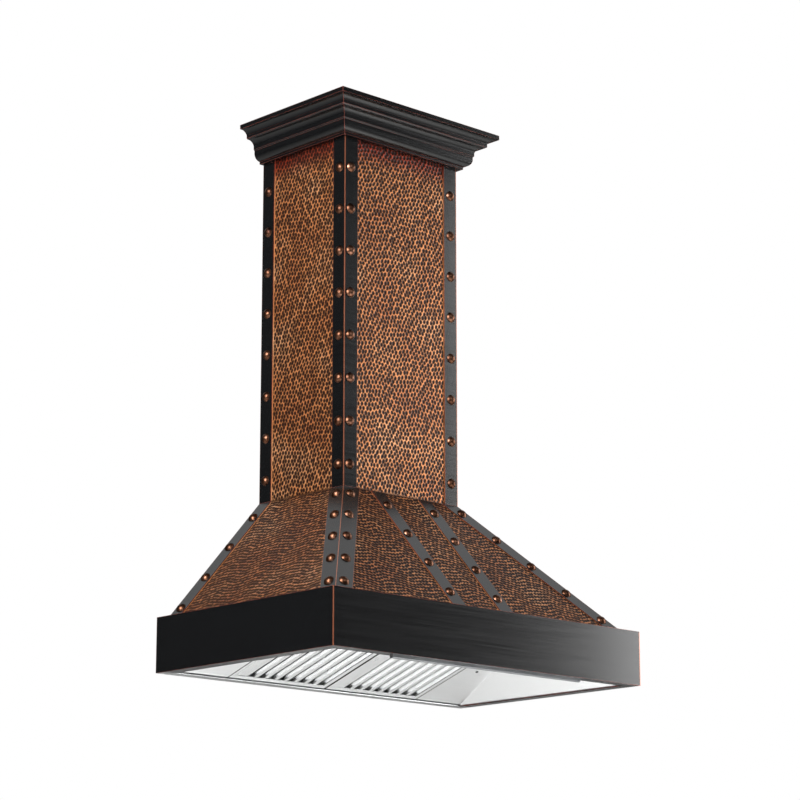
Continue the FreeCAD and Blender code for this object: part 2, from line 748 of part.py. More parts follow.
def baffle_strips():
    """Folded strips side by side: each has an upright, a flat and a slope, and a slot before the next."""
    t = BAFFLE_SHEET
    low = FILTER_SHEET
    high = low + BAFFLE_DEPTH
    run = BAFFLE_GROOVE_WIDTH - BAFFLE_SLOT
    length = FILTER_LENGTH - 2 * FILTER_SHEET - 1.0
    start = -FILTER_LENGTH + FILTER_SHEET + 0.5
    strips = []

    def strip(points):
        face = filled([Vector(x, start, z) for x, z in points])
        strips.append(face.extrude(Vector(0, length, 0)))

    for i in range(BAFFLE_GROOVES):
        edge = BAFFLE_FIRST_GROOVE + BAFFLE_PITCH * i
        slope_points = [(edge, low), (edge + run, high), (edge + run - 1.4, high), (edge - 0.4, low + t)]
        if i == 0:
            begin = FILTER_SHEET + 0.5
            strip([(begin, low)] + slope_points + [(begin, low + t)])
        else:
            begin = edge - BAFFLE_PITCH + BAFFLE_GROOVE_WIDTH
            strip([(begin, low)] + slope_points + [(begin + t, low + t), (begin + t, high), (begin, high)])
    begin = BAFFLE_FIRST_GROOVE + BAFFLE_PITCH * (BAFFLE_GROOVES - 1) + BAFFLE_GROOVE_WIDTH
    finish = FILTER_WIDTH - FILTER_SHEET - 0.5
    strip([(begin, low), (finish, low), (finish, low + t), (begin + t, low + t), (begin + t, high), (begin, high)])

    for i in range(BAFFLE_GROOVES):
        middle = BAFFLE_FIRST_GROOVE + BAFFLE_PITCH * i + BAFFLE_GROOVE_WIDTH - BAFFLE_SLOT / 2
        a = middle - CAP_WIDTH / 2
        b = middle + CAP_WIDTH / 2
        strip([(a, CAP_BOTTOM), (a + t, CAP_BOTTOM), (a + t, CAP_TOP - t), (b - t, CAP_TOP - t),
               (b - t, CAP_BOTTOM), (b, CAP_BOTTOM), (b, CAP_TOP), (a, CAP_TOP)])
    return group(strips)


def pull_place():
    """Where a filter's pull ring turns: across the middle of the front flange, just under it."""
    return Vector(FILTER_WIDTH / 2, -FILTER_LENGTH + FILTER_FLANGE / 2, -PULL_CENTRE)


def pull_ears():
    """Two ears under the front flange with holes for the pull ring's wire."""
    centre = pull_place()
    sheet = 1.5
    ears = []
    for side in (-1, 1):
        x = centre.x + side * (PULL_WIDTH / 2 + sheet)
        low = min(x, x - side * sheet)
        ears.append(box(low, low + sheet, centre.y - 4, centre.y + 4, centre.z - 3.5, 0))
    hole_start = centre - Vector(PULL_WIDTH, 0, 0)
    hole = rod(PULL_PIN + 0.1, hole_start, Vector(1, 0, 0), 2 * PULL_WIDTH)
    return [ear.cut(hole) for ear in ears]


def filter_pull():
    """A wire ring that hangs straight down from the ears when the filter is shut."""
    centre = pull_place()
    reach = PULL_WIDTH / 2 + 1.4
    side = PULL_WIDTH / 2 - PULL_WIRE - 1.0
    down = Vector(0, math.sin(slope), -math.cos(slope))
    across_x = Vector(1, 0, 0)
    pin = rod(PULL_PIN, centre - across_x * reach, across_x, 2 * reach)
    straight = PULL_DROP - side
    bend_centre = centre + down * straight
    leg_ends = [bend_centre - across_x * side, bend_centre + across_x * side]
    legs = [rod(PULL_WIRE, end - down * straight, down, straight) for end in leg_ends]
    start = Part.Face(Part.Wire(Part.makeCircle(PULL_WIRE, leg_ends[0], down)))
    bend = start.revolve(bend_centre, down.cross(across_x), 180)
    return joined([pin, legs[0], legs[1], bend])


def filters():
    nodes = {}
    frame = joined([filter_frame()] + pull_ears())
    lefts = {"left": -FILTER_WIDTH - FILTER_SPACING / 2, "right": FILTER_SPACING / 2}
    for side, x in lefts.items():
        for name, shape in (("frame", frame), ("baffles", baffle_strips()), ("pull", filter_pull())):
            piece = shape.copy()
            piece.translate(Vector(x, 0, 0))
            nodes["filter_" + side + "_" + name] = tilted(piece)
    return nodes


# ---------------------------------------------------------------- blower
def scroll_path():
    """The line of the scroll's wrapper in the y-z plane, from the outlet's front to its back."""
    top = PLATE_TOP - PLATE_SHEET
    bottom = 140.0
    nose_radius = 100.0
    nose_z = 255.0
    front = OUTLET_FRONT - nose_radius
    belly_radius = nose_z - bottom
    belly_y = front + belly_radius
    back_radius = OUTLET_BACK - belly_y
    back_z = bottom + back_radius
    half_turn = math.sqrt(0.5)

    def swung(y, z, radius, side, rise):
        """A point halfway round a quarter turn about a centre."""
        return Vector(0, y + side * radius * half_turn, z + rise * radius * half_turn)

    tongue = Vector(0, OUTLET_FRONT, nose_z + nose_radius)
    foremost = Vector(0, front, nose_z)
    lowest = Vector(0, belly_y, bottom)
    hindmost = Vector(0, OUTLET_BACK, back_z)
    nose = Part.Arc(tongue, swung(OUTLET_FRONT, nose_z, nose_radius, -1, 1), foremost).toShape()
    belly = Part.Arc(foremost, swung(belly_y, nose_z, belly_radius, -1, -1), lowest).toShape()
    back = Part.Arc(lowest, swung(belly_y, back_z, back_radius, 1, -1), hindmost).toShape()
    front_line = Part.LineSegment(Vector(0, OUTLET_FRONT, top), tongue).toShape()
    back_line = Part.LineSegment(hindmost, Vector(0, OUTLET_BACK, top)).toShape()
    return [front_line, nose, belly, back, back_line]


def blower():
    path = scroll_path()
    top = PLATE_TOP - PLATE_SHEET
    wrapper = Part.Wire(path).makeOffset2D(BLOWER_SHEET, 2, True, True, False)
    wrapper.translate(Vector(-BLOWER_HALF_WIDTH, 0, 0))
    wrap = wrapper.extrude(Vector(2 * BLOWER_HALF_WIDTH, 0, 0))

    lid = Part.LineSegment(Vector(0, OUTLET_BACK, top), Vector(0, OUTLET_FRONT, top)).toShape()
    outline = Part.Wire(path + [lid]).makeOffset2D(BLOWER_SHEET, 2)
    cheek = Part.Face(outline)
    cheek.translate(Vector(BLOWER_HALF_WIDTH, 0, 0))
    motor_side = cheek.extrude(Vector(BLOWER_SHEET, 0, 0))
    motor_side = motor_side.cut(box(0, 100, -400, 0, top, top + 10))
    inlet_side = mirrored(motor_side)
    centre = Vector(-BLOWER_HALF_WIDTH - 10, ROTOR_Y, ROTOR_Z)
    inlet_side = inlet_side.cut(rod(INLET_RADIUS, centre, Vector(1, 0, 0), 20))
    through = Vector(1, 0, 0)
    far_centre = centre + Vector(2 * BLOWER_HALF_WIDTH, 0, 0)
    motor_side = motor_side.cut(rod(SHAFT_RADIUS + 8, far_centre, through, 20))
    return {"blower_wrap": wrap, "blower_inlet_side": inlet_side, "blower_motor_side": motor_side}


def impeller():
    """A cage of forward-leaning blades between a hub disc on the motor side and a ring on the inlet side."""
    half = ROTOR_HALF_WIDTH
    disc = Part.makeCylinder(ROTOR_RADIUS, 1.5, Vector(half - 1.5, 0, 0), Vector(1, 0, 0))
    hub = Part.makeCylinder(14, 24, Vector(half - 24, 0, 0), Vector(1, 0, 0))
    ring = Part.makeCylinder(ROTOR_RADIUS, 3, Vector(-half, 0, 0), Vector(1, 0, 0))
    ring = ring.cut(Part.makeCylinder(ROTOR_INNER_RADIUS, 5, Vector(-half - 1, 0, 0), Vector(1, 0, 0)))
    blade = box(-half, half, -0.6, 0.6, 0, ROTOR_RADIUS - ROTOR_INNER_RADIUS - 0.5)
    blade.rotate(Vector(0, 0, 0), Vector(1, 0, 0), 20)
    blade.translate(Vector(0, 0, ROTOR_INNER_RADIUS + 0.2))
    parts = [disc, hub, ring]
    for i in range(BLADES):
        copy = blade.copy()
        copy.rotate(Vector(0, 0, 0), Vector(1, 0, 0), 360.0 * i / BLADES)
        parts.append(copy)
    cage = joined(parts)
    cage = cage.cut(Part.makeCylinder(SHAFT_RADIUS, 100, Vector(0, 0, 0), Vector(1, 0, 0)))
    cage.translate(Vector(0, ROTOR_Y, ROTOR_Z))
    start = Vector(ROTOR_HALF_WIDTH - 24, ROTOR_Y, ROTOR_Z)
    shaft = Part.makeCylinder(SHAFT_RADIUS, 100, start, Vector(1, 0, 0))
    return {"impeller": cage, "motor_shaft": shaft}


def motor():
    """A round motor with a mounting flange, cooling ribs and a bore for the shaft."""
    start = BLOWER_HALF_WIDTH + BLOWER_SHEET
    axis = Vector(1, 0, 0)
    flange = Part.makeCylinder(MOTOR_RADIUS + 14, 2.5, Vector(start, 0, 0), axis)
    can = Part.makeCylinder(MOTOR_RADIUS - 3, MOTOR_LENGTH, Vector(start, 0, 0), axis)
    end = Part.makeCylinder(18, MOTOR_LENGTH + 6, Vector(start, 0, 0), axis)
    parts = [flange, can, end]
    for i in range(5):
        parts.append(Part.makeCylinder(MOTOR_RADIUS, 6, Vector(start + 14 + 12 * i, 0, 0), axis))
    body = joined(parts)
    body = body.cut(Part.makeCylinder(SHAFT_RADIUS + 0.1, 70, Vector(start - 1, 0, 0), axis))
    body.translate(Vector(0, ROTOR_Y, ROTOR_Z))
    return {"motor": body}


# ---------------------------------------------------------------- duct collar and flaps
def duct_collar():
    inner = COLLAR_RADIUS - COLLAR_SHEET
    top = COLLAR_HEIGHT
    profile = [(inner, 0), (COLLAR_FLANGE_RADIUS, 0), (COLLAR_FLANGE_RADIUS, COLLAR_SHEET)]
    profile += [(COLLAR_RADIUS, COLLAR_SHEET), (COLLAR_RADIUS, top), (inner, top)]
    tube = revolved(profile)
    tube.translate(Vector(0, DUCT_Y, PLATE_TOP))
    for x in (-FLAP_PIN_X, FLAP_PIN_X):
        start = Vector(x, DUCT_Y - COLLAR_RADIUS - 5, FLAP_Z)
        hole = Part.makeCylinder(FLAP_PIN_RADIUS + 0.1, 2 * COLLAR_RADIUS + 10, start, Vector(0, 1, 0))
        tube = tube.cut(hole)
    return {"duct_collar": drilled(tube, collar_screw_places(), SCREW_HOLE_RADIUS)}


def flaps():
    """Two half-round flaps, each with its own pin held in the collar's wall."""
    half_length = COLLAR_RADIUS - 0.6
    pin_start = Vector(-FLAP_PIN_X, DUCT_Y - half_length, FLAP_Z)
    pin = Part.makeCylinder(FLAP_PIN_RADIUS, 2 * half_length, pin_start, Vector(0, 1, 0))
    disc = Part.makeCylinder(FLAP_RADIUS, FLAP_SHEET, Vector(0, DUCT_Y, FLAP_Z - FLAP_SHEET / 2))
    rest = box(-FLAP_PIN_X, 200, DUCT_Y - 200, DUCT_Y + 200, FLAP_Z - 10, FLAP_Z + 10)
    left = joined([disc.cut(rest), pin])
    return {"damper_flap_left": left, "damper_flap_right": mirrored(left)}


# ---------------------------------------------------------------- lamps, buttons and screws
def lamps():
    """A bezel with its can behind the panel, and a lens held in the bezel."""
    radius = LAMP_RADIUS
    bezel = radius + 6
    housing = [(0, -26), (radius, -26), (radius, 0), (bezel, 0), (bezel, 1.2), (bezel - 1.2, 2.4)]
    housing += [(radius - 3, 2.4), (radius - 3, -4), (0, -4)]
    lens = [(0, -4), (radius - 3 - GAP, -4), (radius - 3 - GAP, 0.8), (radius - 8, 2.2), (0, 3.0)]
    nodes = {}
    for side, x in (("left", -LAMP_X), ("right", LAMP_X)):
        point = on_front(x, LAMP_RISE, 0)
        nodes["lamp_housing_" + side] = placed(revolved(housing), point, front_out)
        nodes["lamp_lens_" + side] = placed(revolved(lens), point, front_out)
    return nodes


def button_positions():
    middle = (len(BUTTONS) - 1) / 2
    return [BUTTON_SPACING * (i - middle) for i in range(len(BUTTONS))]


def front_placed(shape, x, rise):
    """A piece whose x runs across the hood and whose z points out of the front liner panel."""
    matrix = FreeCAD.Matrix()
    point = on_front(x, rise, 0)
    side = Vector(1, 0, 0)
    up = front_out.cross(side)
    matrix.A11, matrix.A21, matrix.A31 = side.x, side.y, side.z
    matrix.A12, matrix.A22, matrix.A32 = up.x, up.y, up.z
    matrix.A13, matrix.A23, matrix.A33 = front_out.x, front_out.y, front_out.z
    matrix.A14, matrix.A24, matrix.A34 = point.x, point.y, point.z
    piece = shape.copy()
    piece.Placement = FreeCAD.Placement(matrix)
    return piece


def buttons():
    """The plate round the buttons, the switch box behind them, and the buttons themselves."""
    half = BUTTON_SPACING * len(BUTTONS) / 2 + 6
    face_plate = box(-half, half, -14, 14, 0, 1.5)
    switch_box = box(-half, half, -14, 14, -30, -LINER_SHEET)
    axes = [(Vector(x, 0, 0), Vector(0, 0, 1)) for x in button_positions()]
    face_plate = drilled(face_plate, axes, BUTTON_RADIUS + GAP)
    bores = []
    for x in button_positions():
        bores.append(Part.makeCylinder(BUTTON_RADIUS + GAP, 20, Vector(x, 0, -16)))
    switch_box = switch_box.cut(bores)
    crown_height = 4.0
    profile = [(0, -12), (BUTTON_RADIUS, -12), (BUTTON_RADIUS, crown_height - 1)]
    profile += [(BUTTON_RADIUS - 1, crown_height), (0, crown_height)]
    nodes = {
        "switch_plate": front_placed(face_plate, 0, BUTTON_RISE),
        "switch_box": front_placed(switch_box, 0, BUTTON_RISE),
    }
    for name, x in zip(BUTTONS, button_positions()):
        nodes["button_" + name] = placed(revolved(profile), on_front(x, BUTTON_RISE, 0), front_out)
    return nodes


def screws():
    """Small round-headed screws: beside the filters, on the collar and on the chimney bracket."""
    profile = [(0, -SCREW_LENGTH), (SCREW_RADIUS, -SCREW_LENGTH), (SCREW_RADIUS, 0), (SCREW_HEAD_RADIUS, 0)]
    profile.append((SCREW_HEAD_RADIUS * 0.8, SCREW_HEAD_HEIGHT * 0.75))
    profile.append((SCREW_HEAD_RADIUS * 0.4, SCREW_HEAD_HEIGHT))
    profile.append((0, SCREW_HEAD_HEIGHT))
    pattern = revolved(profile)
    places = deck_screw_places() + collar_screw_places()
    places += chimney_screw_places() + other_side(chimney_screw_places())
    return {"small_screws": group([placed(pattern, point, direction) for point, direction in places])}


# ---------------------------------------------------------------- write the parts
def main():
    nodes = {}
    makers = [skirt, roof_panels, chimney_panels, straps, rivets, crown, back_panel, top_plate, chimney_ring]
    makers += [chimney_bracket, liner, rails, filters, blower, impeller, motor, duct_collar, flaps]
    makers += [lamps, buttons, screws]
    for maker in makers:
        nodes.update(maker())
    os.makedirs("parts", exist_ok=True)
    for name, shape in nodes.items():
        shape.exportStep("parts/" + name + ".step")
        solids = shape.Solids
        volume = sum(solid.Volume for solid in solids)
        print(f"{name:32s} solids {len(solids):3d}  volume {volume / 1000:9.1f} cm3  valid {shape.isValid()}")
    print(len(nodes), "nodes")


main()
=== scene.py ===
import math

import bpy
import numpy as np
from bpy.props import FloatProperty, FloatVectorProperty, IntProperty, PointerProperty
from mathutils import Matrix, Vector


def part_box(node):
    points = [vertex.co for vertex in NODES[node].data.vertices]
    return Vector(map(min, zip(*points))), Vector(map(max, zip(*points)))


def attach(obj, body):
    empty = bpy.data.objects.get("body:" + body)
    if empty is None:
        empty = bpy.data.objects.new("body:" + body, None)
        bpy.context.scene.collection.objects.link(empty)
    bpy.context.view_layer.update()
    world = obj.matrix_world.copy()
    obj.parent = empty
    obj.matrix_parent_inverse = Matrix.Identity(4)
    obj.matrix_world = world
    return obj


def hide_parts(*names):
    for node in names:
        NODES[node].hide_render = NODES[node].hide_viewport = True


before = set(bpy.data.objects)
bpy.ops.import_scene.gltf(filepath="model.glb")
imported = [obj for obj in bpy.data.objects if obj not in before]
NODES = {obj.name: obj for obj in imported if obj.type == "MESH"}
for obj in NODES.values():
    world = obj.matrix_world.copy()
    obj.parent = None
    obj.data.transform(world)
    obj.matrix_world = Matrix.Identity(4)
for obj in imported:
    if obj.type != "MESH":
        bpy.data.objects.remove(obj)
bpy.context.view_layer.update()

bl_info = {
    "name": "Copper Range Hood",
    "version": (1, 0, 0),
    "blender": (4, 5, 0),
    "location": "View3D > Sidebar > Hood",
    "description": "Hammered copper range hood with black straps, rivets, filters and blower",
    "category": "Add Mesh",
}

MM = 0.001

# The two middle roof straps' places and half width, and how much more of a panel a rear strap covers.
MIDDLE_STRAP_X = 71 * MM
HALF_STRAP = 19.5 * MM
REAR_STRAP_EXTRA = 2 * MM

# How wide the enamel is rubbed off at an edge, at an upright corner and along a hip.
RUBBED_EDGE = 1.3 * MM
RUBBED_CORNER = 1.6 * MM
RUBBED_HIP = 0.9 * MM

# A painted shadow line under the skirt starts at the flange's inner edge, where the flange meets the liner,
# and ends short of the front.
SKIRT_FLANGE = 30 * MM
SHADOW_LINE_WIDTH = 3.4 * MM
SHADOW_LINE_BLUR = 0.8 * MM
SHADOW_LINE_FRONT_END = 23.6 * MM

# Each filter's middle, and where the painted shade along its edges starts and is full, measured from that
# middle.
FILTER_MIDDLE_X = 142 * MM
FILTER_SHADE_START = 138.4 * MM
FILTER_SHADE_FULL = 139 * MM

# Hammer marks: half width and half height as shares of the blow spacing, and the strength of the oxide.
MARKS = {"chimney": ((0.47, 0.60), 1.1), "roof": ((0.58, 0.52), 1.4)}
BLOW_SCATTER = 0.11
BLOW_SIZE_SPREAD = 0.08
BLOW_TABLE = (97, 89)

# The marks fade out along a sheet's sides and ends. Oxide lies at its ends, and less of it on its back.
SIDE_RIM = 4 * MM
END_RIM = 1.5 * MM
OXIDE_RIM = 4 * MM
END_OXIDE = 0.45
BACK_OXIDE = 0.15

# The Mix node's colour sockets share their names with its other sockets, so they go by number.
MIX_FIRST, MIX_SECOND, MIX_RESULT = 6, 7, 2


# ---------------------------------------------------------------- colours and nodes
def srgb(code):
    """A hex colour as linear RGBA."""
    values = [int(code[i:i + 2], 16) / 255 for i in (1, 3, 5)]
    linear = [v / 12.92 if v <= 0.04045 else ((v + 0.055) / 1.055) ** 2.4 for v in values]
    return (*linear, 1.0)


def add(tree, kind, inputs=None, **settings):
    """Adds a node, sets it up, and fills or links its inputs."""
    made = tree.nodes.new(kind)
    for name, value in settings.items():
        setattr(made, name, value)
    for key, value in (inputs or {}).items():
        if isinstance(value, bpy.types.NodeSocket):
            tree.links.new(value, made.inputs[key])
        else:
            made.inputs[key].default_value = value
    return made


def blank_material(name):
    """An empty node material, its tree and its Object coordinates."""
    material = bpy.data.materials.new(name)
    material.use_nodes = True
    tree = material.node_tree
    tree.nodes.clear()
    return material, tree, add(tree, "ShaderNodeTexCoord").outputs["Object"]


def finish_surface(tree, inputs):
    """The Principled shader and the output."""
    shader = add(tree, "ShaderNodeBsdfPrincipled", inputs)
    add(tree, "ShaderNodeOutputMaterial", {"Surface": shader.outputs[0]})


def ramp(tree, factor, stops):
    """A colour from a ramp with (position, colour) stops."""
    made = add(tree, "ShaderNodeValToRGB", {"Fac": factor})
    elements = made.color_ramp.elements
    while len(elements) < len(stops):
        elements.new(0.5)
    for element, (place, colour) in zip(elements, stops):
        element.position = place
        element.color = colour
    return made.outputs[0]


def noise(tree, place, scale, detail, roughness=0.5):
    """Cloudy noise from 0 to 1."""
    inputs = {"Vector": place, "Scale": scale, "Detail": detail, "Roughness": roughness}
    return add(tree, "ShaderNodeTexNoise", inputs).outputs["Fac"]


def stretched(tree, place, scale):
    """Coordinates scaled along X, Y and Z."""
    return add(tree, "ShaderNodeMapping", {"Vector": place, "Scale": scale}).outputs[0]


def remap(tree, value, start=0.0, end=1.0, low=0.0, high=1.0, curve="LINEAR"):
    """Carries a value from the range start to end into the range low to high, and clamps it."""
    inputs = {"Value": value, "From Min": start, "From Max": end, "To Min": low, "To Max": high}
    return add(tree, "ShaderNodeMapRange", inputs, interpolation_type=curve).outputs[0]


def maths(tree, operation, *values):
    """The result of one sum."""
    return add(tree, "ShaderNodeMath", dict(enumerate(values)), operation=operation).outputs[0]


def blend(tree, factor, first, second):
    """A colour between two others."""
    inputs = {"Factor": factor, MIX_FIRST: first, MIX_SECOND: second}
    return add(tree, "ShaderNodeMix", inputs, data_type="RGBA").outputs[MIX_RESULT]


def scaled(tree, colour, factor):
    """A colour made brighter or darker by a factor."""
    return add(tree, "ShaderNodeVectorMath", {0: colour, "Scale": factor}, operation="SCALE").outputs[0]


def split(tree, vector):
    """A vector's X, Y and Z sockets."""
    return add(tree, "ShaderNodeSeparateXYZ", {0: vector}).outputs


def bump(tree, height, strength, distance):
    """A normal with fine relief."""
    inputs = {"Height": height, "Strength": strength, "Distance": distance}
    return add(tree, "ShaderNodeBump", inputs).outputs[0]


# ---------------------------------------------------------------- settings
class HoodHammerSettings(bpy.types.PropertyGroup):
    across: FloatProperty(name="Blow Spacing Across", description="Distance between hammer marks along a row",
                          default=10.3 * MM, unit="LENGTH")
    rise: FloatProperty(name="Row Spacing", description="Distance between rows of hammer marks",
                        default=9.6 * MM, unit="LENGTH")
    depth: FloatProperty(name="Depth", description="Depth of a hammer mark", default=1.1 * MM, unit="LENGTH")
    step: FloatProperty(name="Mesh Step", description="Size of the mesh squares",
                        default=1.76 * MM, unit="LENGTH")
    thickness: FloatProperty(name="Sheet", description="Thickness of the copper sheet",
                             default=1.5 * MM, unit="LENGTH")
    margin: FloatProperty(name="Smooth Margin", description="Unhammered copper beside each strap",
                          default=1.8 * MM, unit="LENGTH")
    strap: FloatProperty(name="Strap Cover", description="How far a strap reaches over the panel's edge",
                         default=37.0 * MM, unit="LENGTH")
    seed: IntProperty(name="Seed", description="Chooses the scatter of the hammer marks", default=11)


class HoodColourSettings(bpy.types.PropertyGroup):
    copper: FloatVectorProperty(name="Copper", description="Copper rubbed bright on the ridges",
                                subtype="COLOR", size=4, default=srgb("#b47548"))
    patina: FloatVectorProperty(name="Patina", description="Dark oxide left in the hammer marks",
                                subtype="COLOR", size=4, default=srgb("#1e0903"))
    enamel: FloatVectorProperty(name="Enamel", description="Black enamel of straps, skirt and crown",
                                subtype="COLOR", size=4, default=srgb("#0b0c0d"))
    worn: FloatVectorProperty(name="Worn Edge", description="Copper that shows through at rubbed edges",
                              subtype="COLOR", size=4, default=srgb("#9c5548"))
    steel: FloatVectorProperty(name="Steel", description="Stainless steel of the liner and filters",
                               subtype="COLOR", size=4, default=srgb("#e4e5e6"))


class HoodStageSettings(bpy.types.PropertyGroup):
    eye: FloatVectorProperty(name="Camera", description="Where the camera stands", subtype="TRANSLATION",
                             unit="LENGTH", size=3, default=(-3.9454, -4.4947, -0.7624))
    turn: FloatProperty(name="Turn", description="Camera's turn to the right of straight at the wall",
                        default=math.radians(43.10), unit="ROTATION")
    tilt: FloatProperty(name="Tilt", description="Camera's tilt above level", default=math.radians(13.55),
                        unit="ROTATION")
    lens: FloatProperty(name="Lens", description="Focal length in millimetres", default=119.3)
    floor: FloatProperty(name="Floor", description="Height of the floor", default=-1.65, unit="LENGTH")


# ---------------------------------------------------------------- hammered copper
def nearest_blow(u, w, wide, tall, look):
    """How far each point is from its nearest hammer blow, where 1 is the rim of the mark.

    Blows are struck in staggered rows, each one slightly off its place. u and w are in millimetres.
    wide and tall are a mark's half sizes as shares of the spacing."""
    rows, columns = BLOW_TABLE
    across = look.across / MM
    rise = look.rise / MM
    scatter = np.random.default_rng(look.seed).uniform(-BLOW_SCATTER, BLOW_SCATTER, (rows, columns, 2))
    size = np.random.default_rng(look.seed + 1).uniform(
        1 - BLOW_SIZE_SPREAD, 1 + BLOW_SIZE_SPREAD, (rows, columns))
    # The rows wander by up to 6 mm, over waves from 50 to 500 mm long.
    wu = u + 3.2 * np.sin(w / 34 + 1.1) + 1.4 * np.sin(w / 14 + u / 59)
    ww = w + 4.8 * np.sin(u / 19 + w / 80 + 0.4) + 1.2 * np.sin(u / 8 - w / 47)
    base_row = np.floor(ww / rise).astype(int)
    nearest = np.full(u.shape, np.inf)
    for row_step in (-1, 0, 1, 2):
        row = base_row + row_step
        stagger = 0.5 * (row % 2)
        base_column = np.round(wu / across - stagger).astype(int)
        for column_step in (-1, 0, 1):
            column = base_column + column_step
            off = scatter[row % rows, column % columns]
            du = (wu - (column + stagger + off[..., 0]) * across) / (wide * across)
            dw = (ww - (row + off[..., 1]) * rise) / (tall * rise)
            reach = np.sqrt(du * du + dw * dw) / size[row % rows, column % columns]
            nearest = np.minimum(nearest, reach)
    return nearest


def outer_face(node, outward):
    """A panel's outer face.

    Gives its normal, its level and rising directions, its distance along the normal, and its bottom and
    top edges as (left, right, height)."""
    mesh = node.data
    facing = [p for p in mesh.polygons if p.normal.dot(outward) > 0.3]
    normal = max(facing, key=lambda p: p.area).normal.normalized()
    level = Vector((0, 0, 1)).cross(normal).normalized()
    rising = normal.cross(level)
    spots = [v.co for v in mesh.vertices]
    reach = max(c.dot(normal) for c in spots)
    face = [c for c in spots if c.dot(normal) > reach - 0.1 * MM]
    heights = [c.dot(rising) for c in face]
    edges = []
    for height in (min(heights), max(heights)):
        along = [c.dot(level) for c in face if abs(c.dot(rising) - height) < 0.2 * MM]
        edges.append((min(along), max(along), height))
    return normal, level, rising, reach, edges


def from_side(u, w, low, high):
    """Signed distance of points from the line between two (u, w) points."""
    du, dw = high[0] - low[0], high[1] - low[1]
    return ((u - low[0]) * dw - (w - low[1]) * du) / math.hypot(du, dw)


def from_ends(w, bottom, top):
    """Distance of points from the sheet's nearer end, its bottom or its top."""
    return np.minimum(w - bottom[2], top[2] - w)


def blank_sheet(bottom, top, look):
    """A fine grid cut to a panel's outline and given its thickness, lying with its face upwards."""
    left = min(bottom[0], top[0])
    right = max(bottom[1], top[1])
    low, high = bottom[2], top[2]
    bpy.ops.object.select_all(action="DESELECT")
    bpy.ops.mesh.primitive_grid_add(
        x_subdivisions=round((right - left) / look.step),
        y_subdivisions=round((high - low) / look.step),
        size=1, location=(0, 0, 0), enter_editmode=True)
    bpy.ops.transform.resize(value=(right - left, high - low, 1))
    bpy.ops.transform.translate(value=((left + right) / 2, (low + high) / 2, 0))
    # A side that leans is cut to its slope.
    for side, outer in ((0, -1), (1, 1)):
        lean = bottom[side] - top[side]
        if abs(lean) > 1 * MM:
            bpy.ops.mesh.select_all(action="SELECT")
            away = Vector((outer * (high - low), outer * lean, 0)).normalized()
            bpy.ops.mesh.bisect(plane_co=(bottom[side], low, 0), plane_no=away, clear_outer=True)
    bpy.ops.mesh.select_all(action="SELECT")
    bpy.ops.mesh.region_to_loop()
    bpy.ops.mesh.extrude_edges_move(TRANSFORM_OT_translate={"value": (0, 0, -look.thickness)})
    bpy.ops.mesh.edge_face_add()
    bpy.ops.mesh.select_all(action="SELECT")
    bpy.ops.mesh.normals_make_consistent(inside=False)
    bpy.ops.object.mode_set(mode="OBJECT")
    return bpy.context.object


def hammered_share(u, w, bottom, top, covers, bands, look):
    """How fully each point is hammered: 0 beside a strap and at the sheet's edges, 1 away from them."""
    share = np.full(len(u), 1.0)
    for side, sign in ((0, 1), (1, -1)):
        start, end = (bottom[side], bottom[2]), (top[side], top[2])
        inside = from_side(u, w, start, end) * sign
        share = np.minimum(share, np.clip(np.abs(inside - covers[side]) / look.margin - 0.8, 0, 1))
        share = np.minimum(share, np.clip(inside / SIDE_RIM - 1, 0, 1))
    for middle in bands:
        for line in (middle - HALF_STRAP, middle + HALF_STRAP):
            share = np.minimum(share, np.clip(np.abs(u - line) / look.margin - 0.8, 0, 1))
    return np.minimum(share, np.clip(from_ends(w, bottom, top) / END_RIM - 0.5, 0, 1))


def hammered_panel(name, outward, covers, bands, marks, look):
    """One copper sheet: cut to the panel's outline, dented, and set in the panel's place."""
    mark_shape, darkening = marks
    normal, level, rising, reach, (bottom, top) = outer_face(NODES[name], outward)
    panel = blank_sheet(bottom, top, look)
    panel.name = name.replace("_panel", "_hammered")
    mesh = panel.data
    points = np.empty(len(mesh.vertices) * 3)
    mesh.vertices.foreach_get("co", points)
    points = points.reshape(-1, 3)
    u, w = points[:, 0], points[:, 1]
    blow = np.clip(1 - nearest_blow(u / MM, w / MM, *mark_shape, look) ** 2, 0, 1)
    hollow = blow * hammered_share(u, w, bottom, top, covers, bands, look)
    front = points[:, 2] > -0.5 * look.thickness
    points[:, 2] -= np.where(front, look.depth * hollow ** 1.3, 0)
    mesh.vertices.foreach_set("co", points.ravel())
    dirt = END_OXIDE * np.clip(1 - from_ends(w, bottom, top) / OXIDE_RIM, 0, 1)
    oxide = np.clip(darkening * np.maximum(hollow, dirt), 0, 1)
    attribute = mesh.attributes.new("hollow", "FLOAT", "POINT")
    attribute.data.foreach_set("value", np.where(front, oxide, BACK_OXIDE))
    place = Matrix((level, rising, normal)).transposed().to_4x4()
    mesh.transform(Matrix.Translation(normal * reach) @ place)
    bpy.ops.object.shade_smooth_by_angle(angle=math.radians(60))
    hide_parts(name)
    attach(panel, "hood")
    return panel


